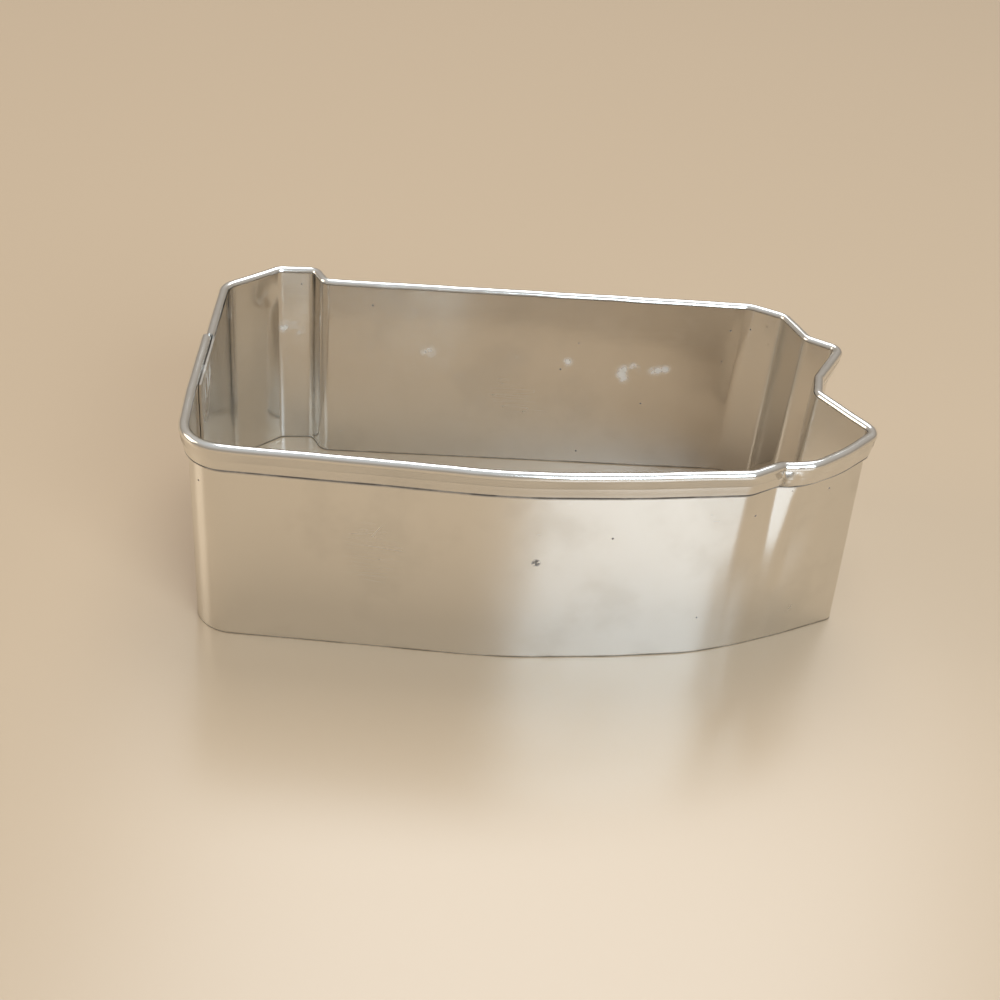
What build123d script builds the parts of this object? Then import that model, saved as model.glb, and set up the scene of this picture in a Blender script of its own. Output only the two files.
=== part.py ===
from build123d import *
import os

# Cookie cutter bent from one strip of tinned steel, in millimetres, +Z up.
# It stands on its cutting edge, and the origin is under the middle of its box.

# Sheet and strip
strip_depth = 25.4
sheet_thickness = 0.30

# Hem rolled outwards along the top edge
bead_diameter = 1.20
hem_depth = 3.2
hem_gap = 0.05
bead_close_angle = 30.0
hem_bend_radius = 0.5

# Outline of the strip's middle line, seen from above.
# X runs east from the west wall's corners, Y runs north from the long north wall.
outline_length = 75.3
outline_width = 41.4
north_west_corner_drop = 2.7
west_wall_bow = 0.4

tab_start = 5.8
tab_end = 10.1
tab_foot = 11.5
tab_rise = 3.2
tab_start_drop = 0.35

# The east end's corners are set back from the upper point
north_wall_setback = 8.7
shoulder_setback = 4.9
shoulder_drop = 2.2
shoulder_foot_setback = 3.3
shoulder_foot_drop = 8.1
upper_point_drop = 10.3
notch_top_setback = 4.2
notch_top_drop = 17.4
notch_foot_setback = 5.3
notch_foot_drop = 21.6

# The south side's corners are raised from its lowest stretch
lower_point_setback = 0.7
lower_point_rise = 11.8
lower_flank_setback = 4.7
lower_flank_rise = 7.9
pinch_east_setback = 9.0
pinch_east_rise = 4.8
pinch_west_setback = 12.5
pinch_west_rise = 4.6
south_east_setback = 16.0
south_east_rise = 2.5
south_west_corner_rise = 2.8

# The south side's lowest corner lies east of half way, and the ones beside it near half way to the ends
south_middle_offset = 4.35
south_bow_offset = 0.75
south_bow_rise = 0.95
south_quarter_offset = 2.4
south_quarter_rise = 1.3

# Bend radii on the strip's middle line
south_west_radius = 4.5
north_west_radius = 2.6
tab_start_radius = 1.4
tab_end_radius = 1.0
tab_foot_radius = 1.6
north_east_radius = 3.0
shoulder_radius = 1.6
shoulder_foot_radius = 1.8
upper_point_radius = 0.8
notch_radius = 2.2
lower_point_radius = 1.2
lower_flank_radius = 20.0
pinch_east_radius = 4.0
pinch_west_radius = 1.6
south_east_radius = 3.0
south_middle_radius = 60.0
south_side_radius = 80.0

# Lap seam on the west wall, centred a little south of the wall's middle
lap_length = 11.0
lap_centre_offset = 0.7
lap_run_in = 1.2
ply_gap = 0.05
jog_length = 2.4
jog_radius = 5.0
hem_end_gap = 0.10
tongue_top_drop = 0.4

# Spot welds through both plies of the lap
weld_diameter = 1.8
weld_from_tongue_end = 3.0
upper_weld_below_hem = 1.6
lower_weld_height = 5.0
weld_dish_width = 1.25
weld_dish_depth = 0.04

# What follows from the sizes above
ply_offset = sheet_thickness + ply_gap
inner_ply_x = ply_offset - west_wall_bow
outer_ply_x = -west_wall_bow
south_west_corner_drop = outline_width - south_west_corner_rise
lap_centre_drop = (north_west_corner_drop + south_west_corner_drop) / 2 + lap_centre_offset
outer_ply_end_drop = lap_centre_drop - lap_length / 2
tongue_end_drop = lap_centre_drop + lap_length / 2
hem_foot_height = strip_depth - hem_depth
upper_weld_height = hem_foot_height - upper_weld_below_hem


def strip_corners():
    """Corners of the middle line, clockwise from the north-west one, each with its bend radius."""
    length = outline_length
    south = -outline_width
    south_east_x = length - south_east_setback
    south_middle_x = south_east_x / 2 + south_middle_offset
    south_bow_x = (south_middle_x + south_east_x) / 2 + south_bow_offset
    south_quarter_x = south_middle_x / 2 + south_quarter_offset
    return [
        (0, -north_west_corner_drop, north_west_radius),
        (tab_start, tab_rise - tab_start_drop, tab_start_radius),
        (tab_end, tab_rise, tab_end_radius),
        (tab_foot, 0, tab_foot_radius),
        (length - north_wall_setback, 0, north_east_radius),
        (length - shoulder_setback, -shoulder_drop, shoulder_radius),
        (length - shoulder_foot_setback, -shoulder_foot_drop, shoulder_foot_radius),
        (length, -upper_point_drop, upper_point_radius),
        (length - notch_top_setback, -notch_top_drop, notch_radius),
        (length - notch_foot_setback, -notch_foot_drop, notch_radius),
        (length - lower_point_setback, south + lower_point_rise, lower_point_radius),
        (length - lower_flank_setback, south + lower_flank_rise, lower_flank_radius),
        (length - pinch_east_setback, south + pinch_east_rise, pinch_east_radius),
        (length - pinch_west_setback, south + pinch_west_rise, pinch_west_radius),
        (south_east_x, south + south_east_rise, south_east_radius),
        (south_bow_x, south + south_bow_rise, south_side_radius),
        (south_middle_x, south, south_middle_radius),
        (south_quarter_x, south + south_quarter_rise, south_side_radius),
        (0, -south_west_corner_drop, south_west_radius),
    ]


def strip_path():
    """Open middle line of the hemmed strip, from the butt of its hem round to the outer ply's end."""
    hem_start = hem_end_gap - outer_ply_end_drop
    jog_start = hem_start + jog_length / 2
    jog_end = jog_start + jog_length
    corners = [
        (inner_ply_x, jog_start, jog_radius),
        (outer_ply_x, jog_end, jog_radius),
        *strip_corners(),
        (outer_ply_x, -tongue_end_drop - lap_run_in, jog_radius),
    ]
    points = [(x, y) for x, y, radius in corners]
    points = [(inner_ply_x, hem_start), *points, (outer_ply_x, -outer_ply_end_drop)]
    return FilletPolyline(*points, radius=[radius for x, y, radius in corners])


def hem_profile():
    """Section of the wall and its teardrop hem: X is outwards from the middle line, Y is up."""
    outer_radius = bead_diameter / 2
    inner_radius = outer_radius - sheet_thickness
    half = sheet_thickness / 2
    centre = Vector(outer_radius - half, strip_depth - outer_radius)
    flange_inner = half + hem_gap
    flange_outer = flange_inner + sheet_thickness
    close_angle = -bead_close_angle
    flank_rise = Vector(0, 1).rotate(Axis.Z, close_angle)

    def bead_end(radius):
        """Point where the bead's arc turns into the straight flank."""
        return centre + Vector(radius, 0).rotate(Axis.Z, close_angle)

    def flank_end(start, x):
        """Point where the flank that falls from start reaches x."""
        return start - flank_rise * ((start.X - x) / flank_rise.X)

    outer_start = bead_end(outer_radius)
    inner_start = bead_end(inner_radius)
    outer_flank = [outer_start, flank_end(outer_start, flange_outer), (flange_outer, hem_foot_height)]
    inner_flank = [(flange_inner, hem_foot_height), flank_end(inner_start, flange_inner), inner_start]
    with BuildSketch() as section:
        with BuildLine():
            Line((half, 0), (-half, 0))
            Line((-half, 0), (-half, centre.Y))
            CenterArc(centre, outer_radius, 180, close_angle - 180)
            FilletPolyline(*outer_flank, radius=hem_bend_radius)
            Line((flange_outer, hem_foot_height), (flange_inner, hem_foot_height))
            FilletPolyline(*inner_flank, radius=hem_bend_radius)
            CenterArc(centre, inner_radius, close_angle, 180 - close_angle)
            Line((half, centre.Y), (half, 0))
        make_face()
    return section.sketch


def tongue():
    """Plain end of the strip that laps inside the other end, and runs on a little into the hemmed strip."""
    length = lap_length + hem_end_gap + jog_length / 4
    height = strip_depth - tongue_top_drop
    plain = Box(sheet_thickness, length, height, align=(Align.CENTER, Align.MIN, Align.MIN))
    return Pos(inner_ply_x, -tongue_end_drop, 0) * plain


def weld_location(height):
    """Centre of a spot weld, half way through the two plies, with its axis along X."""
    x = (inner_ply_x + outer_ply_x) / 2
    y = weld_from_tongue_end - tongue_end_drop
    return Location((x, y, height), (0, 90, 0))


def nugget_blank():
    """Plain cylinder of weld metal that reaches from one face of the lapped plies to the other."""
    return Cylinder(weld_diameter / 2, ply_offset + sheet_thickness)


def spot_weld():
    """Nugget through both plies, with a shallow dish left by the electrode in each face."""
    dish_radius = ((weld_dish_width / 2) ** 2 + weld_dish_depth**2) / (2 * weld_dish_depth)
    ball_height = (ply_offset + sheet_thickness) / 2 + dish_radius - weld_dish_depth
    nugget = nugget_blank()
    for side in (1, -1):
        nugget -= Pos(0, 0, side * ball_height) * Sphere(dish_radius)
    return nugget


def wall_strip():
    """The whole strip: wall, hem and lapped tongue, with a hole where each weld fills it."""
    path = strip_path()
    section = Plane(origin=path @ 0, x_dir=(-1, 0, 0), z_dir=(0, 1, 0)) * hem_profile()
    strip = sweep(section, path=path) + tongue()
    for height in (upper_weld_height, lower_weld_height):
        strip -= weld_location(height) * nugget_blank()
    return strip


strip = wall_strip()
box = strip.bounding_box()
to_origin = Pos(-box.center().X, -box.center().Y, -box.min.Z)

nodes = {
    "wall_strip": strip,
    "spot_weld_upper": weld_location(upper_weld_height) * spot_weld(),
    "spot_weld_lower": weld_location(lower_weld_height) * spot_weld(),
}

os.makedirs("parts", exist_ok=True)
for name, shape in nodes.items():
    placed = to_origin * shape
    export_step(placed, f"parts/{name}.step")
    size = placed.bounding_box().size
    print(name, len(placed.solids()), "solid", round(placed.volume, 2), "mm3", size)
print("moved to the origin by", to_origin.position)
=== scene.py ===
# %% [markdown]
# # A tinplate cookie cutter
# The object is one strip of bright tinned steel. Its top edge is rolled outwards into a hem, the
# strip is bent on edge round a map outline, and its two ends lap on the short west wall, where two
# spot welds hold them. This lesson builds the strip, the welds, their finishes, and a small studio
# to see them in.
#
# The packed model is loaded first as a fixed frame. It gives the box that the visual pieces have to
# fill.

# %% Load the frame
import bpy
import math
from mathutils import Matrix, Vector


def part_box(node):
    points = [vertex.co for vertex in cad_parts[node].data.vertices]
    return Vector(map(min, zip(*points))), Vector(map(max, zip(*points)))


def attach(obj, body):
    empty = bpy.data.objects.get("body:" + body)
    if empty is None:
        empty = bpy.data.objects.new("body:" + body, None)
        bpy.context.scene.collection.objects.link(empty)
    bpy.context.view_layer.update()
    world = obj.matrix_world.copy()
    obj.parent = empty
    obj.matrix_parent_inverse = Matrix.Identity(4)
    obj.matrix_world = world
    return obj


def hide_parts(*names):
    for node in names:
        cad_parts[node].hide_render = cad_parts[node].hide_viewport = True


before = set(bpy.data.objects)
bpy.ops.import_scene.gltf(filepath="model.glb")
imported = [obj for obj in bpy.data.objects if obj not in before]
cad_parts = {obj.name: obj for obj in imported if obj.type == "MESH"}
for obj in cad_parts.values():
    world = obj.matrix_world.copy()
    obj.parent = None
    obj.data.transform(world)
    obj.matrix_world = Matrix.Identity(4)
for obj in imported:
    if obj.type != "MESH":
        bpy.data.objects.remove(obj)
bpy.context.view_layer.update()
scene = bpy.context.scene
scene.view_settings.view_transform = "Standard"
MM = 0.001
print("nodes in the frame:", sorted(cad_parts))

# %% [markdown]
# ## The camera
# The camera stands close, looks down, and is tipped a little to one side. Its place could be set by
# eye, but the rim and the foot of the wall are two copies of one outline at two heights, and that
# is enough to work it out. The lens follows from the width of the frame, so the sensor is left at
# 36 mm.

# %% Camera
CAMERA_AT = Vector((-15.70, -136.97, 100.85)) * MM
CAMERA_FORWARD = Vector((0.0789, 0.8199, -0.5671))
CAMERA_ROLL = math.radians(5.772)
FRAME_PIXELS = 1000
FOCAL_PIXELS = 1345.0
SENSOR_MM = 36.0


def aim(forward, roll):
    """Turns a camera or lamp, which looks down its own -Z, along forward."""
    back = -forward.normalized()
    right = Vector((0, 0, 1)).cross(back).normalized()
    up = back.cross(right)
    turned = Matrix((right, up, back)).transposed()
    return (turned @ Matrix.Rotation(roll, 3, "Z")).to_4x4()


camera_data = bpy.data.cameras.new("camera")
camera_data.sensor_width = SENSOR_MM
camera_data.lens = FOCAL_PIXELS / FRAME_PIXELS * SENSOR_MM
camera_data.clip_start = 0.005
camera = bpy.data.objects.new("camera", camera_data)
camera.matrix_world = Matrix.Translation(CAMERA_AT) @ aim(CAMERA_FORWARD, CAMERA_ROLL)
scene.collection.objects.link(camera)
scene.camera = camera
print("lens", round(camera_data.lens, 2), "mm")

# %% [markdown]
# ## Node trees as Python
# Both the mesh trees and the shaders below are written as expressions. `Wire` holds one output
# socket, and arithmetic on wires adds Math nodes. The same could be drawn by hand in the node
# editor, but a sum reads better as a sum.

# %% Wires
class Wire:
    """An output socket on which arithmetic adds Math nodes."""

    def __init__(self, tree, socket):
        self.tree = tree
        self.socket = socket

    def math(self, operation, *values):
        return self.tree.add("ShaderNodeMath", {"operation": operation}, dict(enumerate(values)))

    def __add__(self, other):
        return self.math("ADD", self, other)

    def __radd__(self, other):
        return self.math("ADD", other, self)

    def __sub__(self, other):
        return self.math("SUBTRACT", self, other)

    def __rsub__(self, other):
        return self.math("SUBTRACT", other, self)

    def __mul__(self, other):
        return self.math("MULTIPLY", self, other)

    def __truediv__(self, other):
        return self.math("DIVIDE", self, other)

    def __neg__(self):
        return self.math("MULTIPLY", self, -1.0)

    def __abs__(self):
        return self.math("ABSOLUTE", self)

    def __gt__(self, other):
        return self.math("GREATER_THAN", self, other)

    def __lt__(self, other):
        return self.math("LESS_THAN", self, other)

    def at_most(self, other):
        return self.math("MINIMUM", self, other)

    def at_least(self, other):
        return self.math("MAXIMUM", self, other)

    def ramp(self, low, high, to_low=0.0, to_high=1.0):
        """Goes smoothly from to_low to to_high as this wire goes from low to high."""
        inputs = {"Value": self, "From Min": low, "From Max": high, "To Min": to_low, "To Max": to_high}
        return self.tree.add("ShaderNodeMapRange", {"interpolation_type": "SMOOTHSTEP"}, inputs)


print("wires ready")

# %% [markdown]
# `Tree.add` makes any other node from its type, its settings and the values or wires of its inputs,
# so that no tree needs a long list of links. The few vector nodes that come again and again get
# short names.

# %% Trees
class Tree:
    """A node tree with one way to add a node."""

    def __init__(self, node_tree):
        self.nodes = node_tree.nodes
        self.links = node_tree.links

    def add(self, kind, settings=None, inputs=None, output=0):
        """Adds a node and returns a wire from one of its outputs."""
        node = self.nodes.new(kind)
        for name, value in (settings or {}).items():
            if name == "stops":
                self.set_stops(node.color_ramp, value)
            else:
                setattr(node, name, value)
        for key, value in (inputs or {}).items():
            socket = node.inputs[key]
            if isinstance(value, Wire):
                self.links.new(value.socket, socket)
            else:
                socket.default_value = value
        return None if output is None else Wire(self, node.outputs[output])

    def set_stops(self, ramp, stops):
        """Gives a colour ramp its stops, each a place and a colour."""
        while len(ramp.elements) < len(stops):
            ramp.elements.new(1.0)
        for element, (place, colour) in zip(ramp.elements, stops):
            element.position = place
            element.color = (*colour, 1.0)

    def other(self, wire, name):
        """Another output of the node that a wire comes from."""
        return Wire(self, wire.socket.node.outputs[name])

    def vector(self, operation, a, b=(0, 0, 0), output=0):
        inputs = {0: a, 1: b}
        return self.add("ShaderNodeVectorMath", {"operation": operation}, inputs, output)

    def scaled(self, vector, factor):
        inputs = {0: vector, "Scale": factor}
        return self.add("ShaderNodeVectorMath", {"operation": "SCALE"}, inputs)

    def combine(self, x=0.0, y=0.0, z=0.0):
        return self.add("ShaderNodeCombineXYZ", None, {"X": x, "Y": y, "Z": z})

    def split(self, vector):
        first = self.add("ShaderNodeSeparateXYZ", None, {0: vector})
        return first, self.other(first, "Y"), self.other(first, "Z")

    def noise(self, vector, scale, detail=2.0, roughness=0.5, output=0):
        inputs = {"Vector": vector, "Scale": scale, "Detail": detail, "Roughness": roughness}
        return self.add("ShaderNodeTexNoise", None, inputs, output)


print("a tree's steps:", [name for name in vars(Tree) if not name.startswith("__")])

# %% [markdown]
# ## The outline of the strip
# The strip is bent on edge, so its whole shape is one flat line and a bend radius at each corner.
# Every corner is given in millimetres from two straight walls, as a tinsmith's pattern would be: X
# from the west wall, Y from the long north wall. The line is open. It starts on the west wall,
# where the inner ply's hem butts against the outer ply, runs clockwise round the outline, and ends
# on the west wall again.

# %% Sizes of the strip
DEPTH = 25.4
SHEET = 0.30
BEAD = 1.20
HEM_DEPTH = 3.2
HEM_GAP = 0.05
BEAD_CLOSE = math.radians(30.0)
HEM_BEND = 0.5
LENGTH = 75.3
WIDTH = 41.4
WEST_BOW = 0.4
NORTH_WEST_DROP = 2.7
SOUTH_WEST_RISE = 2.8
LAP = 11.0
LAP_OFFSET = 0.7
LAP_RUN_IN = 1.2
PLY_GAP = 0.05
JOG_RADIUS = 5.0
HEM_END_GAP = 0.10
TONGUE_TOP_DROP = 0.4
WELD_FROM_TONGUE_END = 3.0
UPPER_WELD_BELOW_HEM = 1.6
LOWER_WELD_HEIGHT = 5.0

PLY_OFFSET = SHEET + PLY_GAP
INNER_X = PLY_OFFSET - WEST_BOW
OUTER_X = -WEST_BOW
LAP_CENTRE = (NORTH_WEST_DROP + WIDTH - SOUTH_WEST_RISE) / 2 + LAP_OFFSET
OUTER_END = LAP_CENTRE - LAP / 2
TONGUE_END = LAP_CENTRE + LAP / 2
HEM_START_Y = HEM_END_GAP - OUTER_END
LAP_FLARE = 0.03
print("lap from", round(OUTER_END, 2), "to", round(TONGUE_END, 2), "mm south of the north wall")

# %% [markdown]
# The corners themselves could be traced from the photograph as one smooth curve, but a bent strip
# has flat runs between its bends, and it is the flats that reflect evenly. So each bend is a named
# corner with its own radius, and the other steps can find a place on the strip by that name.

# %% Corners of the outline
SOUTH_EAST_X = LENGTH - 16.0
SOUTH_MIDDLE_X = SOUTH_EAST_X / 2 + 4.35
OUTLINE = {
    "north_west": (0, -NORTH_WEST_DROP, 2.6),
    "tab_start": (5.8, 2.85, 1.4),
    "tab_end": (10.1, 3.2, 1.0),
    "tab_foot": (11.5, 0, 1.6),
    "north_east": (LENGTH - 8.7, 0, 3.0),
    "shoulder": (LENGTH - 4.9, -2.2, 1.6),
    "shoulder_foot": (LENGTH - 3.3, -8.1, 1.8),
    "upper_point": (LENGTH, -10.3, 0.8),
    "notch_top": (LENGTH - 4.2, -17.4, 2.2),
    "notch_foot": (LENGTH - 5.3, -21.6, 2.2),
    "lower_point": (LENGTH - 0.7, -WIDTH + 11.8, 1.2),
    "lower_flank": (LENGTH - 4.7, -WIDTH + 7.9, 20.0),
    "pinch_east": (LENGTH - 9.0, -WIDTH + 4.8, 4.0),
    "pinch_west": (LENGTH - 12.5, -WIDTH + 4.6, 1.6),
    "south_east": (SOUTH_EAST_X, -WIDTH + 2.5, 3.0),
    "south_bow": ((SOUTH_MIDDLE_X + SOUTH_EAST_X) / 2 + 0.75, -WIDTH + 0.95, 80.0),
    "south_middle": (SOUTH_MIDDLE_X, -WIDTH, 60.0),
    "south_quarter": (SOUTH_MIDDLE_X / 2 + 2.4, -WIDTH + 1.3, 80.0),
    "south_west": (0, -WIDTH + SOUTH_WEST_RISE, 4.5),
    "lap_run_in": (OUTER_X, -TONGUE_END - LAP_RUN_IN, JOG_RADIUS),
}
OUTER_PLY_END = (OUTER_X - LAP_FLARE, -OUTER_END, 0)
HEMMED_LINE = [(INNER_X, HEM_START_Y, 0), *OUTLINE.values(), OUTER_PLY_END]
TONGUE_LINE = [(INNER_X, -TONGUE_END, 0), (INNER_X, HEM_START_Y, 0)]
print(len(OUTLINE), "bends in the strip")

# %% [markdown]
# Near the lower east point the rim and the foot don't agree. The hem is pinched in there, and the
# pinch runs out half way down the wall, so the foot follows a smoother line of its own. It leaves
# the outline between the notch and the lower point, and joins it again on the south side.

# %% Line of the foot
def between(first, second, share):
    """A point on the straight run between two corners of the outline."""
    spot = Vector(OUTLINE[first][:2]).lerp(Vector(OUTLINE[second][:2]), share)
    return spot.x, spot.y, 0


def stations(line):
    """Lengths along a line at which the bend of each inner corner starts and ends."""
    found = []
    length, spent = 0.0, 0.0
    for before, corner, after in zip(line, line[1:], line[2:]):
        inward = Vector(corner[:2]) - Vector(before[:2])
        outward = Vector(after[:2]) - Vector(corner[:2])
        turn = inward.angle(outward)
        reach = corner[2] * math.tan(turn / 2)
        start = length + inward.length - spent - reach
        length = start + corner[2] * turn
        spent = reach
        found.append((start, length))
    found.append((length + outward.length - spent, None))
    return found


def run_length(station, first, second, share):
    """Length along the outline at a share of the straight run between two corners' bends."""
    return station[first][1] * (1 - share) + station[second][0] * share


print("helpers for places along the strip ready")

# %% The foot's own line
FOOT_LINE = [
    between("notch_foot", "lower_point", 0.4),
    (LENGTH, -WIDTH + 9.5, 1.2),
    (LENGTH - 7.8, -WIDTH + 5.95, 25.0),
    (LENGTH - 13.3, -WIDTH + 3.8, 25.0),
    (LENGTH - 18.8, -WIDTH + 2.15, 25.0),
    between("south_bow", "south_east", 0.5),
]
STATION = dict(zip(OUTLINE, stations(HEMMED_LINE)))
FOOT_STATION = stations(FOOT_LINE)
FOOT_CORNER_SHARE = sum(FOOT_STATION[0]) / 2 / FOOT_STATION[-1][0]
PINCH = STATION["pinch_west"][0] - 0.4
print("the foot's line is", round(FOOT_STATION[-1][0], 1), "mm long; pinch at", round(PINCH, 1), "mm")

# %% [markdown]
# ## The section of the strip
# A hem could be a tube laid on the edge, but a real one is the sheet itself, turned over on a
# roller: up the wall, round a bead, back in along a slanted flank, and down against the wall as a
# narrow flange. The section below is that closed line. The raw edges of the sheet get a tiny round,
# because a knife-sharp edge would catch no light, and points are set close to each bend to keep the
# long faces flat in shading.

# %% Section of the wall and its hem
EDGE_ROUND = 0.05
WALL_STEP = 1.0


def arc(centre, radius, start, turn, count):
    """Points on an arc, both ends included, with angles in radians."""
    steps = [start + turn * i / count for i in range(count + 1)]
    return [(centre[0] + radius * math.cos(a), centre[1] + radius * math.sin(a)) for a in steps]


def run(start, end, step, ease=0.12):
    """Points between two ends, with one close to each end and the rest evenly spaced."""
    a, b = Vector(start), Vector(end)
    length = (b - a).length
    inner = length - 2 * ease
    count = max(1, round(inner / step))
    places = [(ease + inner * i / count) / length for i in range(count + 1)]
    return [tuple(a.lerp(b, t)) for t in places]


def sheet_edge(corner_a, corner_b, towards):
    """The rounded raw edge of the sheet between two corners, where towards points out of the sheet."""
    a, b, out = Vector(corner_a), Vector(corner_b), Vector(towards)
    along = (b - a).normalized() * EDGE_ROUND
    back = out.normalized() * EDGE_ROUND
    soft = 0.3
    first = [a - back, a - back * soft + along * soft, a + along]
    last = [b - along, b - back * soft - along * soft, b - back]
    return [tuple(p) for p in first + last]


print("steps of a section ready")

# %% Bends of the hem
def flank(radius, x):
    """Start of the slanted flank on a bead circle, and its corner at x."""
    centre = Vector((BEAD / 2 - SHEET / 2, DEPTH - BEAD / 2))
    fall = Vector((-math.sin(BEAD_CLOSE), -math.cos(BEAD_CLOSE)))
    start = centre + radius * Vector((math.cos(BEAD_CLOSE), -math.sin(BEAD_CLOSE)))
    return start, start + fall * ((start.x - x) / -fall.x)


def bend(corner, before, after, radius, count):
    """Arc of a bend, from the side of before to the side of after."""
    a = (Vector(before) - Vector(corner)).normalized()
    b = (Vector(after) - Vector(corner)).normalized()
    half = a.angle(b) / 2
    reach = radius / math.tan(half)
    centre = Vector(corner) + (a + b).normalized() * (radius / math.sin(half))
    start = Vector(corner) + a * reach - centre
    end = Vector(corner) + b * reach - centre
    turn = start.angle_signed(end)
    first = math.atan2(start.y, start.x)
    return arc(centre, radius, first, -turn, count)


print("hem's flank leaves the bead at", tuple(round(v, 2) for v in flank(BEAD / 2, SHEET)[0]), "mm")

# %% [markdown]
# The two closed sections come next. The hemmed one goes up the wall's outer face into the bead,
# down the inside of the flange, round the raw edge, and back over the outside. The plain one
# belongs to the tongue, whose hem was never rolled, so that it can slide inside the other end.

# %% The two closed sections
def hem_section():
    """Closed section, X outwards from the middle of the sheet and Y up, anticlockwise from the foot."""
    half = SHEET / 2
    outer, inner = BEAD / 2, BEAD / 2 - SHEET
    centre = (outer - half, DEPTH - outer)
    gap_x, flange_x = half + HEM_GAP, half + HEM_GAP + SHEET
    foot = DEPTH - HEM_DEPTH
    outer_start, outer_corner = flank(outer, flange_x)
    inner_start, inner_corner = flank(inner, gap_x)
    points = sheet_edge((-half, 0), (half, 0), (0, -1))
    points += run((half, EDGE_ROUND), (half, centre[1]), WALL_STEP)
    points += arc(centre, inner, math.pi, -math.pi - BEAD_CLOSE, 12)
    inner_bend = bend(inner_corner, inner_start, (gap_x, foot), HEM_BEND, 3)
    points += inner_bend
    points += run(inner_bend[-1], (gap_x, foot + EDGE_ROUND), 0.5)
    points += sheet_edge((gap_x, foot), (flange_x, foot), (0, -1))
    outer_bend = bend(outer_corner, (flange_x, foot), outer_start, HEM_BEND, 5)
    points += run((flange_x, foot + EDGE_ROUND), outer_bend[0], 0.5)
    points += outer_bend
    points += arc(centre, outer, -BEAD_CLOSE, math.pi + BEAD_CLOSE, 26)
    points += run((-half, centre[1]), (-half, EDGE_ROUND), WALL_STEP)
    return points


def tongue_section():
    """Closed section of the plain inner end, which has no hem."""
    half = SHEET / 2
    top = DEPTH - TONGUE_TOP_DROP
    points = sheet_edge((-half, 0), (half, 0), (0, -1))
    points += run((half, EDGE_ROUND), (half, top - EDGE_ROUND), WALL_STEP)
    points += sheet_edge((half, top), (-half, top), (0, 1))
    points += run((-half, top - EDGE_ROUND), (-half, EDGE_ROUND), WALL_STEP)
    return points


print("points in the section:", len(hem_section()), "hemmed,", len(tongue_section()), "plain")

# %% [markdown]
# The finish paints shade, with some dirt, along the raw edge of the hem's flange, so it has to know
# how far round the section that edge lies. The length is measured on the section itself, and
# follows when a size changes.

# %% Place of the raw edge
def length_to(points, reached):
    """Length round a section to the first point that reached says yes to."""
    length = 0.0
    for before, point in zip(points, points[1:]):
        length += (Vector(point) - Vector(before)).length
        if reached(*point):
            return length
    raise ValueError("no such point on the section")


HEM_FOOT = DEPTH - HEM_DEPTH
RAW_EDGE = length_to(hem_section(), lambda x, y: x > SHEET and y < HEM_FOOT + 0.01)
print("the raw edge lies", round(RAW_EDGE, 1), "mm round the section")

# %% [markdown]
# ## The sweep
# The strip is a section that follows a path, so it is a Geometry Nodes tree and not a list of
# vertices. The tree rounds each corner of the path to its own bend radius, cuts the straight runs
# into short steps, and sweeps the section along it. Sheet this thin is never quite flat. The tree
# moves both faces together with a noise that is sampled on the path, so the wall keeps its
# thickness and the two plies of the lap agree. A named UV map, strip, runs along the strip and up
# the sheet, for the grain of the tinplate.

# %% Path and section curves
def new_object(name, data):
    """Adds an object with this data to the scene."""
    made = bpy.data.objects.new(name, data)
    scene.collection.objects.link(made)
    return made


def poly_curve(name, points, closed=False):
    """A poly spline through (X, Y, bend radius) points in millimetres."""
    curve = bpy.data.curves.new(name, "CURVE")
    curve.dimensions = "3D"
    spline = curve.splines.new("POLY")
    spline.points.add(len(points) - 1)
    for point, (x, y, radius) in zip(spline.points, points):
        point.co = (x * MM, y * MM, 0, 1)
        point.radius = radius * MM
    spline.use_cyclic_u = closed
    return new_object(name, curve)


def section_curve(name, points):
    """A section for Curve to Mesh, which lays X to the right of the path and Y down it."""
    return poly_curve(name, [(-x, -y, 1) for x, y in points], closed=True)


hem_curve = section_curve("hem_section", hem_section())
tongue_curve = section_curve("tongue_section", tongue_section())
print("section curves:", hem_curve.name, tongue_curve.name)

# %% [markdown]
# The tree keeps three things on every point before the sweep: the length along the strip, the place
# on the flat line, and the direction out of the wall. Curve to Mesh carries them onto the mesh, so
# the later steps can ask where on the strip a point lies. Two helpers keep a value under a name and
# read it again.

# %% Helpers of the tree
ARC_POINTS = 14


def new_tree(name, sockets):
    """A Geometry Nodes group with a geometry in and out and the given named inputs."""
    group = bpy.data.node_groups.new(name, "GeometryNodeTree")
    group.interface.new_socket("Geometry", in_out="INPUT", socket_type="NodeSocketGeometry")
    group.interface.new_socket("Geometry", in_out="OUTPUT", socket_type="NodeSocketGeometry")
    for label, kind in sockets:
        group.interface.new_socket(label, in_out="INPUT", socket_type=kind)
    return group


def store(tree, geometry, name, value, kind="FLOAT", domain="POINT"):
    """Keeps a value on the geometry under a name."""
    inputs = {"Geometry": geometry, "Name": name, "Value": value}
    settings = {"data_type": kind, "domain": domain}
    return tree.add("GeometryNodeStoreNamedAttribute", settings, inputs)


def stored(tree, name, kind="FLOAT"):
    """Reads a value that was kept under a name."""
    return tree.add("GeometryNodeInputNamedAttribute", {"data_type": kind}, {"Name": name})


print("tree helpers ready")

# %% [markdown]
# The first half of the tree rounds and divides the path. Fillet Curve takes each corner's own
# radius from the curve's point radius, so one node bends all the corners.

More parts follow.
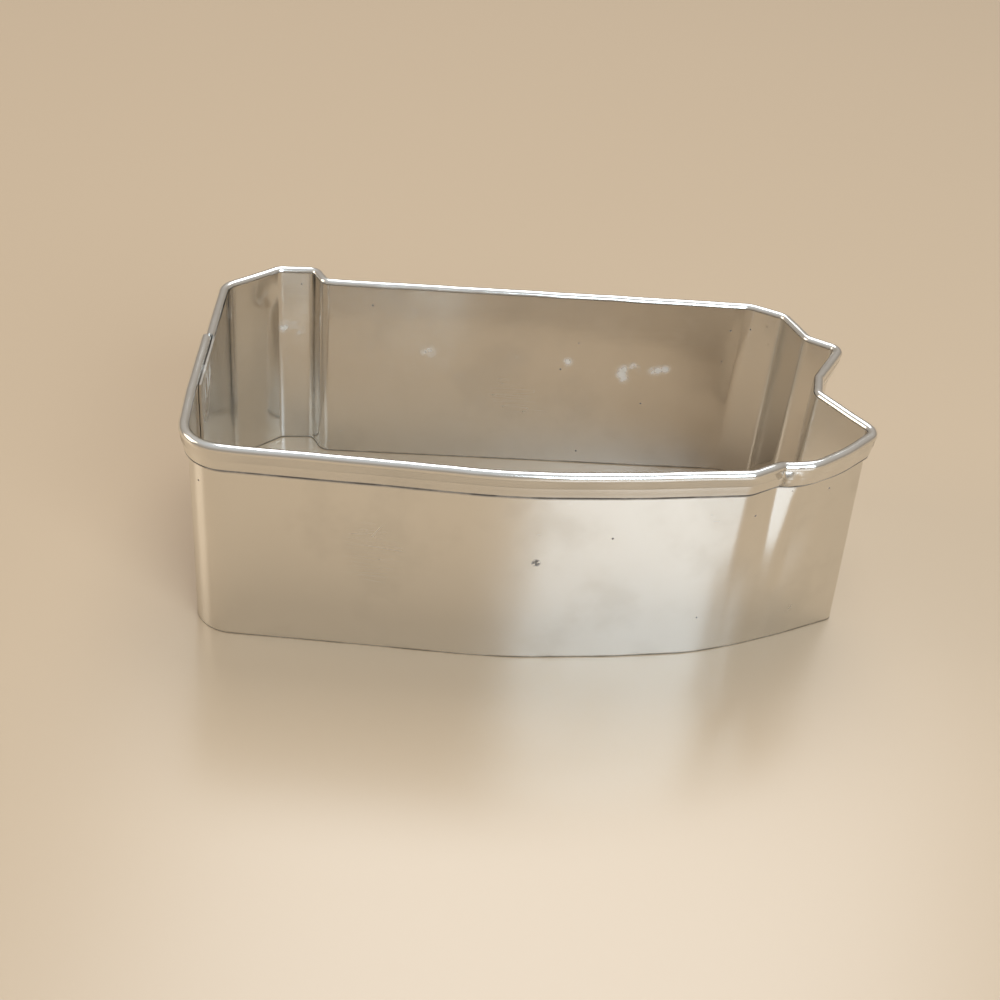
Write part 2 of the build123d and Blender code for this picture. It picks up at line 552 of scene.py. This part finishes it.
# %% Path and section in the tree
def marked_path(tree, path, step):
    """Rounds the path's corners, cuts its runs, and keeps each point's place and outward direction."""
    radius = tree.add("GeometryNodeInputRadius")
    inputs = {"Curve": path, "Count": ARC_POINTS, "Radius": radius}
    rounded = tree.add("GeometryNodeFilletCurve", {"mode": "POLY"}, inputs)
    place = tree.add("GeometryNodeInputPosition")
    following = tree.add("GeometryNodeInputIndex") + 1.0
    inputs = {"Value": place, "Index": following}
    after = tree.add("GeometryNodeFieldAtIndex", {"data_type": "FLOAT_VECTOR"}, inputs)
    gap = tree.vector("DISTANCE", place, after, output="Value")
    cuts = tree.add("ShaderNodeMath", {"operation": "FLOOR"}, {0: gap / step}).at_most(200.0)
    fine = tree.add("GeometryNodeSubdivideCurve", None, {"Curve": rounded, "Cuts": cuts})
    along = tree.add("GeometryNodeSplineParameter", output="Length")
    tangent = tree.add("GeometryNodeInputTangent")
    outward = tree.vector("CROSS_PRODUCT", (0, 0, 1), tangent)
    marked = store(tree, fine, "along", along)
    marked = store(tree, marked, "path_at", place, "FLOAT_VECTOR")
    marked = store(tree, marked, "outward", outward, "FLOAT_VECTOR")
    return tree.add("GeometryNodeSetCurveNormal", {"mode": "Z_UP"}, {"Curve": marked})


def marked_section(tree, curve_object):
    """The section with each point's place on it and length round it."""
    section = tree.add("GeometryNodeObjectInfo", None, {"Object": curve_object}, "Geometry")
    length = tree.add("GeometryNodeSplineParameter", output="Length")
    section = store(tree, section, "section_at", tree.add("GeometryNodeInputPosition"), "FLOAT_VECTOR")
    return store(tree, section, "round_section", length)


print("sweep steps ready")

# %% [markdown]
# Hand bending leaves its marks: a soft waviness, a dent beside the tab, and a crumpled hem where
# the sharp pinch near the lower east point gathers the rolled edge. Each is one small move of the
# swept points, written as a function of the length along the strip and the height up the wall. A
# sculpted mesh could show them too, but these keep both faces of the sheet together.

# %% How the sheet strays from true
RIM_LEVEL = 24.6


def wobble(tree, at, size, scale):
    """A noise about zero with this size in metres and this many waves per metre."""
    return (tree.noise(at, scale, detail=1.0) - 0.5) * 2.0 * size


def to_foot_line(tree, given, along, path_at, height):
    """The move that takes the pinched stretch to the foot's own line, more further down."""
    line = tree.add("GeometryNodeObjectInfo", None, {"Object": given("Foot Line")}, "Geometry")
    radius = tree.add("GeometryNodeInputRadius")
    inputs = {"Curve": line, "Count": ARC_POINTS, "Radius": radius}
    line = tree.add("GeometryNodeFilletCurve", {"mode": "POLY"}, inputs)
    start, corner, end = given("Foot Start"), given("Foot Corner"), given("Foot End")
    before = {"Value": along, "From Min": start, "From Max": corner, "To Max": FOOT_CORNER_SHARE}
    after = {"Value": along, "From Min": corner, "From Max": end, "To Max": 1.0 - FOOT_CORNER_SHARE}
    share = tree.add("ShaderNodeMapRange", None, before) + tree.add("ShaderNodeMapRange", None, after)
    inputs = {"Curves": line, "Factor": share}
    target = tree.add("GeometryNodeSampleCurve", {"mode": "FACTOR"}, inputs, "Position")
    inside = (along > start) * (along < end)
    early = height.ramp(22.5 * MM, 7.0 * MM)
    steady = (RIM_LEVEL * MM - height).at_least(0.0) / (RIM_LEVEL * MM)
    down = steady + (early - steady) * share.ramp(0.36, 0.60)
    return tree.scaled(tree.vector("SUBTRACT", target, path_at), inside * down)


def pucker(tree, from_pinch, across, height):
    """Outward and upward moves of the crumpled hem at the pinch."""
    close = abs(from_pinch).ramp(1.3 * MM, 0.3 * MM)
    wide = abs(from_pinch).ramp(2.6 * MM, 0.0)
    flange = across.ramp(0.15 * MM, 0.3 * MM) * height.ramp(22.1 * MM, 22.9 * MM)
    lump = close * flange * height.ramp(24.6 * MM, 23.8 * MM) * (0.65 * MM)
    bead = height.ramp(23.8 * MM, 24.8 * MM)
    shoulder = from_pinch.ramp(-7.0 * MM, -2.9 * MM) * from_pinch.ramp(-1.0 * MM, -2.9 * MM)
    shoulder = shoulder * height.ramp(24.5 * MM, 19.5 * MM) * height.ramp(6.0 * MM, 14.0 * MM)
    return lump - shoulder * (0.55 * MM) - wide * bead * (0.16 * MM), wide * bead * (-0.24 * MM)


def tab_dent(tree, from_tab, height):
    """An outward dent in the slanted wall beside the tab, just under the hem."""
    away = tree.vector("LENGTH", tree.combine(from_tab, height - 22.6 * MM), output="Value")
    return away.ramp(2.6 * MM, 0.4 * MM) * (0.22 * MM)


print("small moves ready; the foot line's corner comes at a share of", round(FOOT_CORNER_SHARE, 3))

# %% [markdown]
# All these moves add up to one offset for each point. The noise fades out beside the welds, because
# there the two plies are held flat against each other.

# %% Add up the moves
def stray_offset(tree, given):
    """The whole move of a swept point away from the true section and outline."""
    along, path_at = stored(tree, "along"), stored(tree, "path_at", "FLOAT_VECTOR")
    outward = stored(tree, "outward", "FLOAT_VECTOR")
    right, down = tree.split(stored(tree, "section_at", "FLOAT_VECTOR"))[:2]
    across, height = -right, -down
    on_sheet = tree.vector("ADD", path_at, tree.combine(z=height))
    calm = tree.vector("DISTANCE", path_at, given("Weld Place"), output="Value").ramp(2.0 * MM, 6.0 * MM)
    broad = wobble(tree, on_sheet, given("Wobble"), 65.0) * calm
    broad = broad + wobble(tree, on_sheet, given("Ripple"), 260.0) * calm
    flange = across.ramp(0.15 * MM, 0.3 * MM) * height.ramp(24.3 * MM, 22.4 * MM)
    slant = height.ramp(22.1 * MM, 23.9 * MM) * height.ramp(24.5 * MM, 23.9 * MM)
    tuck = across.ramp(0.15 * MM, 0.3 * MM) * slant * given("Hem Tuck")
    hem = (wobble(tree, path_at, given("Hem Wobble"), 120.0) + given("Hem Wobble")) * flange + tuck
    lump, dip = pucker(tree, along - given("Pinch"), across, height)
    dent = tab_dent(tree, along - given("Dent"), height)
    bead = height.ramp(23.6 * MM, 24.6 * MM)
    sway = wobble(tree, path_at, given("Hem Wobble"), 170.0) * bead
    rise = wobble(tree, tree.vector("ADD", path_at, (0.5, 0.3, 0.7)), given("Hem Wobble"), 230.0) * bead
    offset = tree.scaled(outward, broad + hem + lump + dent + sway)
    offset = tree.vector("ADD", offset, tree.combine(z=dip + rise))
    return tree.vector("ADD", offset, to_foot_line(tree, given, along, path_at, height))


print("one offset gathers the moves")

# %% [markdown]
# The whole tree then sweeps the section, moves the points, lays the strip's UV map on the corners,
# and ends in Realize Instances and Set Material, so that the result is an ordinary mesh.

# %% The whole tree
def sweep_tree():
    """The whole sweep, from a path of corners to a finished mesh."""
    kinds = {"Section": "Object", "Foot Line": "Object", "Material": "Material", "Weld Place": "Vector"}
    numbers = ("Step", "Foot Start", "Foot Corner", "Foot End", "Pinch", "Dent")
    numbers += ("Wobble", "Ripple", "Hem Wobble", "Hem Tuck", "UV Start")
    kinds |= dict.fromkeys(numbers, "Float")
    group = new_tree("swept_strip", [(label, "NodeSocket" + kind) for label, kind in kinds.items()])
    tree = Tree(group)
    source = tree.add("NodeGroupInput", output="Geometry")

    def given(name):
        return tree.other(source, name)

    path = marked_path(tree, source, given("Step"))
    section = marked_section(tree, given("Section"))
    inputs = {"Curve": path, "Profile Curve": section, "Fill Caps": True}
    swept = tree.add("GeometryNodeCurveToMesh", None, inputs)
    offset = stray_offset(tree, given)
    moved = tree.add("GeometryNodeSetPosition", None, {"Geometry": swept, "Offset": offset})
    unrolled = tree.combine(stored(tree, "along"), stored(tree, "round_section") + given("UV Start"))
    mapped = store(tree, moved, "strip", unrolled, "FLOAT2", "CORNER")
    smooth = tree.add("GeometryNodeSetShadeSmooth", None, {"Geometry": mapped})
    real = tree.add("GeometryNodeRealizeInstances", None, {"Geometry": smooth})
    inputs = {"Geometry": real, "Material": given("Material")}
    done = tree.add("GeometryNodeSetMaterial", None, inputs)
    tree.add("NodeGroupOutput", None, {"Geometry": done}, output=None)
    return group


strip_group = sweep_tree()
print("sweep tree has", len(strip_group.nodes), "nodes")

# %% Run a tree on an object
def make_mesh(source, group, values, name):
    """Runs a node group on an object with the named values and returns a plain mesh object."""
    modifier = source.modifiers.new("nodes", "NODES")
    modifier.node_group = group
    for item in group.interface.items_tree:
        if item.in_out == "INPUT" and item.name in values:
            modifier[item.identifier] = values[item.name]
    bpy.context.view_layer.update()
    evaluated = source.evaluated_get(bpy.context.evaluated_depsgraph_get())
    mesh = bpy.data.meshes.new_from_object(evaluated)
    source.modifiers.remove(modifier)
    mesh.name = name
    return new_object(name, mesh)


print("meshes so far:", len(bpy.data.meshes))

# %% [markdown]
# ## Finishes as expressions
# A finish starts from one Principled shader. Values that vary over the surface, such as roughness,
# colour and bump height, are expressions of the piece's own coordinates in metres, so every mark
# has its real size.

# %% Shader helpers
class Finish(Tree):
    """A material whose surface is one Principled shader."""

    def __init__(self, name, base_colour):
        self.material = bpy.data.materials.new(name)
        self.material.use_nodes = True
        self.material.node_tree.nodes.clear()
        self.material.diffuse_color = (*base_colour, 1.0)
        super().__init__(self.material.node_tree)

    def place(self):
        """The piece's own coordinates, in metres."""
        return self.add("ShaderNodeTexCoord", output="Object")

    def mix(self, factor, low, high):
        """A colour between two colours."""
        settings = {"data_type": "RGBA"}
        return self.add("ShaderNodeMix", settings, {0: factor, 6: rgba(low), 7: rgba(high)}, 2)

    def bump(self, height, normal=None):
        """A normal bent by a height in metres."""
        inputs = {"Height": height, "Distance": 1.0, "Strength": 1.0}
        if normal is not None:
            inputs["Normal"] = normal
        return self.add("ShaderNodeBump", None, inputs)

    def near(self, point, radius, soft=0.5):
        """1 at a point in millimetres, falling to 0 at its radius in millimetres."""
        inside = Vector(point) * MM
        distance = self.vector("DISTANCE", self.place(), inside, output="Value")
        return distance.ramp(radius * MM, radius * MM * soft)

    def any_near(self, spots, soft=0.5):
        """The strongest of near() over several points and radii."""
        found = [self.near(point, radius, soft) for point, radius in spots]
        strongest = found[0]
        for other in found[1:]:
            strongest = strongest.at_least(other)
        return strongest

    def surface(self, inputs):
        """Ends the tree in a Principled shader with these inputs."""
        shader = self.add("ShaderNodeBsdfPrincipled", None, inputs)
        self.add("ShaderNodeOutputMaterial", None, {"Surface": shader}, output=None)
        return self.material


def rgba(colour):
    """A colour with an alpha of 1, or the wire as it is."""
    return colour if isinstance(colour, Wire) else (*colour, 1.0)


print("shader helpers ready")

# %% [markdown]
# ## Tinplate
# Tin is a warm, bright grey metal with fairly sharp reflections. What makes it look real is the
# second order: fine rolling lines along the strip, a soft waviness that bends reflections, wiped
# smudges, dried water spots, a few scratches and dark specks, and pale residue. Some marks are
# painted light and shade: glints painted into the pale spots, a painted reflection in a pale smear,
# painted shade with some grime in the seam under the hem, and painted contact shade along the foot.

# %% Places of the marks
FRAME_SHIFT = Vector((-37.31, 19.03, 0))
WELD_AT = [
    Vector(((INNER_X + OUTER_X) / 2, WELD_FROM_TONGUE_END - TONGUE_END, height)) + FRAME_SHIFT
    for height in (HEM_FOOT - UPPER_WELD_BELOW_HEM, LOWER_WELD_HEIGHT)
]
DARK_SPECKS = [
    ((-0.1, -22.4, 13.5), 0.6),
    ((-30.1, -21.9, 21.0), 0.7),
    ((17.2, -21.2, 15.4), 0.6),
    ((17.3, -21.2, 16.9), 0.4),
    ((26.0, -18.4, 22.3), 0.6),
]
# Pale spots: pale residue on the tin with painted glints, a whiter, less metallic colour that stands in
# for light caught by small dents.
GLINT_AND_RESIDUE_SPOTS = [
    ((6.4, 18.9, 15.7), 1.0),
    ((13.9, 18.9, 15.0), 1.1),
    ((13.8, 18.9, 14.3), 1.2),
    ((14.2, 18.9, 13.6), 1.0),
    ((15.2, 18.9, 15.5), 0.9),
    ((16.0, 18.9, 15.2), 0.7),
    ((17.7, 18.9, 15.0), 1.0),
    ((18.6, 18.9, 15.2), 1.1),
    ((19.5, 18.9, 15.4), 1.0),
    ((-12.1, 18.9, 16.2), 1.5),
    ((-31.0, 21.9, 17.2), 1.3),
    ((-29.5, 21.9, 16.9), 1.5),
]

print(len(DARK_SPECKS), "dark specks,", len(GLINT_AND_RESIDUE_SPOTS), "pale spots,", len(WELD_AT), "welds")

# %% [markdown]
# Scratches and dried drops repeat over the whole sheet, so each is a small pattern of its own: a
# scratch is where a stretched noise crosses its middle value, and a drop is a ring in a cell of a
# Voronoi texture. An image texture would need a file and a resolution, and these stay sharp at any
# distance.

# %% Scratches and dried drops
def scratches(f, place, turn, count):
    """Thin lines in one direction, where stretched noise crosses its middle value."""
    turned = f.add("ShaderNodeVectorRotate", {"rotation_type": "X_AXIS"}, {"Vector": place, "Angle": turn})
    drawn = f.noise(f.vector("MULTIPLY", turned, (60.0, 60.0, count)), 1.0, 0.0)
    line = abs(drawn - 0.5).ramp(0.006, 0.0)
    return line * f.noise(place, 70.0, 1.0).ramp(0.62, 0.74)


def water_spots(f, place):
    """Rings left by dried drops, each drop in a cell of its own."""
    cell = {"Vector": place, "Scale": 260.0, "Randomness": 1.0}
    distance = f.add("ShaderNodeTexVoronoi", None, cell)
    chosen = f.split(f.other(distance, "Color"))[0].ramp(0.55, 0.9)
    uneven = distance + (f.noise(place, 900.0, 2.0) - 0.5) * 0.2
    ring = abs(uneven - 0.24).ramp(0.10, 0.0)
    return (ring * 0.7 + uneven.ramp(0.30, 0.2) * 0.5) * chosen


print("wear patterns ready")

# %% [markdown]
# The finish then adds the layers in this order: clean tin with wiped smudges, heat tint round the
# welds, pale residue with painted glints and a smear that is partly a painted reflection, painted
# shade with some grime in the seam under the hem, and last a dark band along the foot, partly the
# bare steel of the sheared edge, where the knife has cut through the tin, and partly painted contact
# shade.

# %% Tinplate finish
def tinplate():
    """Bright tinned sheet with light wear, painted glints and painted shade."""
    f = Finish("tinplate", (0.80, 0.785, 0.75))
    place = f.place()
    unrolled = f.add("ShaderNodeUVMap", {"uv_map": "strip"})
    round_section = f.split(unrolled)[1]
    grain = f.noise(f.vector("MULTIPLY", unrolled, (90.0, 9000.0, 0.0)), 1.0, 3.0) - 0.5
    smudge = f.noise(place, 90.0, 4.0, 0.6).ramp(0.48, 0.68)
    fog = f.noise(f.vector("ADD", place, (0.3, 0.1, 0.2)), 240.0, 3.0, 0.6).ramp(0.5, 0.75)
    spots = water_spots(f, place) * f.noise(place, 45.0, 1.0).ramp(0.45, 0.6)
    lines = scratches(f, place, 0.35, 2600.0).at_least(scratches(f, place, -0.9, 2100.0))

    specks = f.any_near(DARK_SPECKS) * f.noise(place, 2600.0, 2.0).ramp(0.38, 0.5)
    dust = f.add("ShaderNodeTexVoronoi", None, {"Vector": place, "Scale": 420.0})
    specks = specks.at_least((dust < 0.06) * f.noise(place, 120.0, 1.0).ramp(0.56, 0.6) * 0.8)
    inner_face = round_section > (RAW_EDGE + 5.0) * MM
    # Pale spots on the inner face: residue with painted glints.
    pale = f.any_near(GLINT_AND_RESIDUE_SPOTS, 0.1) * f.noise(place, 700.0, 2.0).ramp(0.25, 0.60) * inner_face
    streaks = f.noise(f.vector("MULTIPLY", place, (1.0, 1.4, 0.45)), 520.0, 1.0).ramp(0.40, 0.60)
    height = f.split(place)[2]
    below_rim = height.ramp(20.5 * MM, 22.5 * MM) * height.ramp(25.2 * MM, 24.9 * MM)
    # A pale streaky smear under the rim by the lap: partly residue, partly a painted reflection.
    smear_and_reflection = f.near((-37.2, -3.8, 22.8), 3.4) * streaks * below_rim
    outer_face = round_section < (HEM_FOOT + 1.0) * MM
    # Painted shade, with some grime, in a dark line just under the hem's lower edge and along the flange's
    # raw edge.
    seam = height.ramp((HEM_FOOT - 0.48) * MM, (HEM_FOOT - 0.18) * MM) * outer_face
    seam = seam.at_least(abs(round_section - RAW_EDGE * MM).ramp(0.32 * MM, 0.18 * MM))
    shade_and_grime = seam * (f.noise(place, 330.0, 3.0).ramp(0.25, 0.6) * 0.5 + 0.5)
    heat = f.any_near([(spot, 3.0) for spot in WELD_AT])

    clean = f.mix(smudge * 0.5, (0.80, 0.785, 0.755), (0.70, 0.685, 0.65))
    tinted = f.mix(heat * 0.55, clean, (0.60, 0.52, 0.42))
    # Pale scratches, pale residue with painted glints, and a smear that is partly a painted reflection.
    scuffed_and_glinting = f.mix((pale * 0.8).at_least(lines * 0.2).at_least(smear_and_reflection), tinted, (0.92, 0.92, 0.91))
    # Dark specks, and painted shade with some grime under the hem.
    soiled_and_shaded = f.mix((specks * 0.85).at_least(shade_and_grime * 0.92), scuffed_and_glinting, (0.05, 0.038, 0.028))
    # A dark band along the foot: partly the bare steel of the sheared edge, partly painted contact shade
    # where the wall meets the floor.
    bare_edge_and_shade = height.ramp(0.32 * MM, 0.08 * MM)
    bare_and_shaded = bare_edge_and_shade * (f.noise(place, 260.0, 3.0).ramp(0.3, 0.65) * 0.5 + 0.3)
    edged = f.mix(bare_and_shaded, soiled_and_shaded, (0.22, 0.19, 0.16))
    wear = smudge * 0.09 + fog * 0.06 + spots * 0.05 + lines * 0.12
    wear = wear + pale * 0.22 + heat * 0.10 + smear_and_reflection * 0.25
    relief = f.noise(place, 210.0, 1.0) * 0.000014 + grain * 0.0000012
    return f.surface({
        "Base Color": edged,
        "Metallic": 1.0 - (specks * 0.7).at_least(shade_and_grime * 0.6).at_least((pale + smear_and_reflection) * 0.45),
        "Roughness": 0.13 + grain * 0.10 + wear + shade_and_grime * 0.3 + bare_edge_and_shade * 0.2,
        "Normal": f.bump(relief),
    })


tinplate_material = tinplate()
print("finish:", tinplate_material.name)

# %% [markdown]
# The weld metal has been molten, so it has lost its mirror. It is a duller grey than the sheet,
# mottled by the electrode, with a brown rim where the heat has burnt the tin.

# %% Weld finish
def weld_metal():
    """Pressed and blued weld metal."""
    f = Finish("weld", (0.62, 0.60, 0.57))
    place = f.place()
    mottle = f.noise(place, 1500.0, 3.0)
    heart = f.any_near([(spot, 0.75) for spot in WELD_AT])
    colour = f.mix(heart, (0.47, 0.41, 0.34), (0.62, 0.60, 0.57))
    return f.surface({
        "Base Color": colour,
        "Metallic": 1.0,
        "Roughness": 0.30 + mottle * 0.2,
        "Normal": f.bump(mottle * 0.00003),
    })


weld_material = weld_metal()
print("finish:", weld_material.name)

# %% [markdown]
# ## The strip
# The hemmed strip and its plain tongue are swept on two paths by the same tree. The path is drawn
# in the outline's own coordinates, and the packed model's box then says where it belongs in the
# frame: the strip is swept once without any wobble, and the difference between the two boxes'
# middles is the shift.

# %% Helpers for the strip
def moved_line(name, line, shift):
    """A line of corners as a curve object, moved from the outline's own place by shift."""
    return poly_curve(name, [(x + shift.x, y + shift.y, radius) for x, y, radius in line])


def swept(name, line, section, shift, uv_start=0.0, **strays):
    """One sweep along a line of corners. The strays are the tree's own inputs, in millimetres."""
    path = moved_line(name + "_path", line, shift)
    foot = moved_line(name + "_foot", FOOT_LINE, shift)
    lengths = {
        "Step": 0.5,
        "Foot Start": run_length(STATION, "notch_foot", "lower_point", 0.38),
        "Foot Corner": sum(STATION["lower_point"]) / 2,
        "Foot End": run_length(STATION, "south_bow", "south_east", 0.52),
        "Pinch": PINCH,
        "Dent": STATION["tab_start"][0] - 1.7,
        "UV Start": uv_start,
        **strays,
    }
    values = {label: length * MM for label, length in lengths.items()}
    values |= {"Section": section, "Foot Line": foot, "Material": tinplate_material}
    values["Weld Place"] = (WELD_AT[0].x * MM, WELD_AT[0].y * MM, 0.0)
    made = make_mesh(path, strip_group, values, name)
    bpy.data.objects.remove(path)
    bpy.data.objects.remove(foot)
    return made


def box_of(piece):
    """Lowest and highest corner of a mesh, in metres."""
    spots = [v.co for v in piece.data.vertices]
    low = Vector(map(min, zip(*spots)))
    return low, Vector(map(max, zip(*spots)))


print("helpers for the strip ready")

# %% Find where the outline belongs
true_strip = swept("true_strip", HEMMED_LINE, hem_curve, Vector((0, 0)))
low, high = box_of(true_strip)
cad_low, cad_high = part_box("wall_strip")
SHIFT = Vector((cad_low.x - low.x - LAP_FLARE * MM, cad_high.y - high.y)) / MM
bpy.data.objects.remove(true_strip)
print("outline shift", tuple(round(v, 3) for v in SHIFT), "mm")
print("size difference", tuple(round(v / MM, 3) for v in (high - low) - (cad_high - cad_low)), "mm")

# %% Sweep the two parts of the strip
STRAYS = {"Wobble": 0.08, "Ripple": 0.010, "Hem Wobble": 0.06, "Hem Tuck": 0.34}
strip = swept("wall_strip_hemmed", HEMMED_LINE, hem_curve, SHIFT, **STRAYS)
tongue = swept("wall_strip_tongue", TONGUE_LINE, tongue_curve, SHIFT, uv_start=100.0, **STRAYS)
for piece in (strip, tongue):
    print(piece.name, len(piece.data.polygons), "faces", tuple(piece.data.attributes.keys()))

# %% [markdown]
# ## The spot welds
# A spot welder squeezes both plies between two round electrodes. It leaves a nugget through the
# sheets, with a shallow dish and a slightly raised lip on each face. A turned profile gives that,
# and the ring of heated tin round it is part of the tinplate's finish.

# %% Turn the welds
NUGGET = [(0.0, -0.03), (0.30, -0.027), (0.52, -0.01), (0.62, 0.012)]
NUGGET += [(0.74, 0.03), (0.84, 0.022), (0.90, 0.0)]
WELD_SIDES = 48


def turned_nugget(name, centre):
    """A weld nugget whose axis lies along X, with NUGGET as radius and rise above each face."""
    half = (PLY_OFFSET + SHEET) / 2
    profile = [(r, half + rise) for r, rise in NUGGET]
    profile += [(r, -half - rise) for r, rise in reversed(NUGGET)]
    points, faces = [], []
    for r, x in profile:
        for i in range(WELD_SIDES if r else 1):
            angle = math.tau * i / WELD_SIDES
            points.append((Vector((x, r * math.cos(angle), r * math.sin(angle))) + centre) * MM)
    last = len(points) - 1
    for i in range(WELD_SIDES):
        j = (i + 1) % WELD_SIDES
        faces.append((0, 1 + i, 1 + j))
        faces.append((last, last - WELD_SIDES + j, last - WELD_SIDES + i))
        for ring in range(len(profile) - 3):
            a = 1 + ring * WELD_SIDES
            faces.append((a + j, a + i, a + WELD_SIDES + i, a + WELD_SIDES + j))
    mesh = bpy.data.meshes.new(name)
    mesh.from_pydata(points, [], faces)
    mesh.polygons.foreach_set("use_smooth", [True] * len(faces))
    mesh.materials.append(weld_material)
    return new_object(name, mesh)


welds = [turned_nugget(name, spot) for name, spot in zip(("weld_upper", "weld_lower"), WELD_AT)]
for weld in welds:
    print(weld.name, len(weld.data.polygons), "faces at", tuple(round(v / MM, 2) for v in box_of(weld)[0]))

# %% [markdown]
# ## The studio
# The tin mirrors whatever is round it, so the studio is as plain as it can be. It stands on a pale
# floor with a faint satin sheen. The floor turns paler far away, where the lamps don't reach it, so
# that a low view shows no dark band before the horizon.

# %% Floor
FLOOR_COLOUR = (0.50, 0.375, 0.25)
FAR_COLOUR = (0.92, 0.79, 0.62)
FLOOR_SIZE = 30.0


def make_floor():
    """A large square that the object stands on, with a faint satin sheen."""
    half = FLOOR_SIZE / 2
    corners = [(-half, -half, 0), (half, -half, 0), (half, half, 0), (-half, half, 0)]
    mesh = bpy.data.meshes.new("floor")
    mesh.from_pydata(corners, [], [(0, 1, 2, 3)])
    f = Finish("floor", FLOOR_COLOUR)
    away = f.vector("LENGTH", f.place(), output="Value")
    colour = f.mix(away.ramp(0.45, 1.8), FLOOR_COLOUR, FAR_COLOUR)
    mesh.materials.append(f.surface({"Base Color": colour, "Roughness": 0.30, "Specular IOR Level": 0.9}))
    return new_object("floor", mesh)


floor = make_floor()
print("floor", FLOOR_SIZE, "m wide")

# %% [markdown]
# The light is plain and soft. A large cool lamp beside the camera shows up in the right half of the
# front wall, as a window would, a second one above and behind lights the rolled edge, and a small
# warm one on the left fills the shadows.

# %% Lamps
def lamp(name, at, size, watts, colour):
    """A square area lamp that looks at the object, with its place and size in metres."""
    data = bpy.data.lights.new(name, "AREA")
    data.size = size
    data.energy = watts
    data.color = colour
    made = new_object(name, data)
    made.matrix_world = Matrix.Translation(Vector(at)) @ aim(-Vector(at), 0)
    return made


lamp("key", (0.33, -0.60, 0.44), 0.46, 4.2, (0.72, 0.87, 1.0))
lamp("top", (0.08, 0.36, 0.70), 0.55, 3.5, (0.95, 0.98, 1.0))
lamp("fill", (-0.60, 0.05, 0.30), 0.30, 0.9, (1.0, 0.86, 0.68))

# %% [markdown]
# The sky is pale above and a little darker and warmer near the horizon. A plain white one would
# wash out the reflections, and with this one the wall's bends stand out as light and dark bands.

# %% Sky
sky = bpy.data.worlds.new("sky")
sky.use_nodes = True
sky.node_tree.nodes.clear()
tree = Tree(sky.node_tree)
height = tree.split(tree.add("ShaderNodeTexCoord", output="Generated"))[2]
stops = [(0.0, (0.48, 0.41, 0.33)), (0.2, (0.46, 0.41, 0.35))]
stops += [(0.6, (0.64, 0.60, 0.55)), (1.0, (0.85, 0.89, 0.92))]
shade = tree.add("ShaderNodeValToRGB", {"stops": stops}, {0: height})
background = tree.add("ShaderNodeBackground", None, {"Color": shade, "Strength": 0.8})
tree.add("ShaderNodeOutputWorld", None, {"Surface": background}, output=None)
scene.world = sky
print("sky has", len(stops), "stops")

# %% [markdown]
# ## Hand over
# Each piece rides on the frame's one body and stands for its packed node.

# %% Ride and replace
bpy.data.objects.remove(hem_curve)
bpy.data.objects.remove(tongue_curve)
for piece, node, slot in (
    (strip, "wall_strip", "tinplate"),
    (tongue, "wall_strip", "tinplate"),
    (welds[0], "spot_weld_upper", "weld"),
    (welds[1], "spot_weld_lower", "weld"),
):
    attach(piece, "root")
    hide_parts(node)
    print(piece.name, "stands for", node)
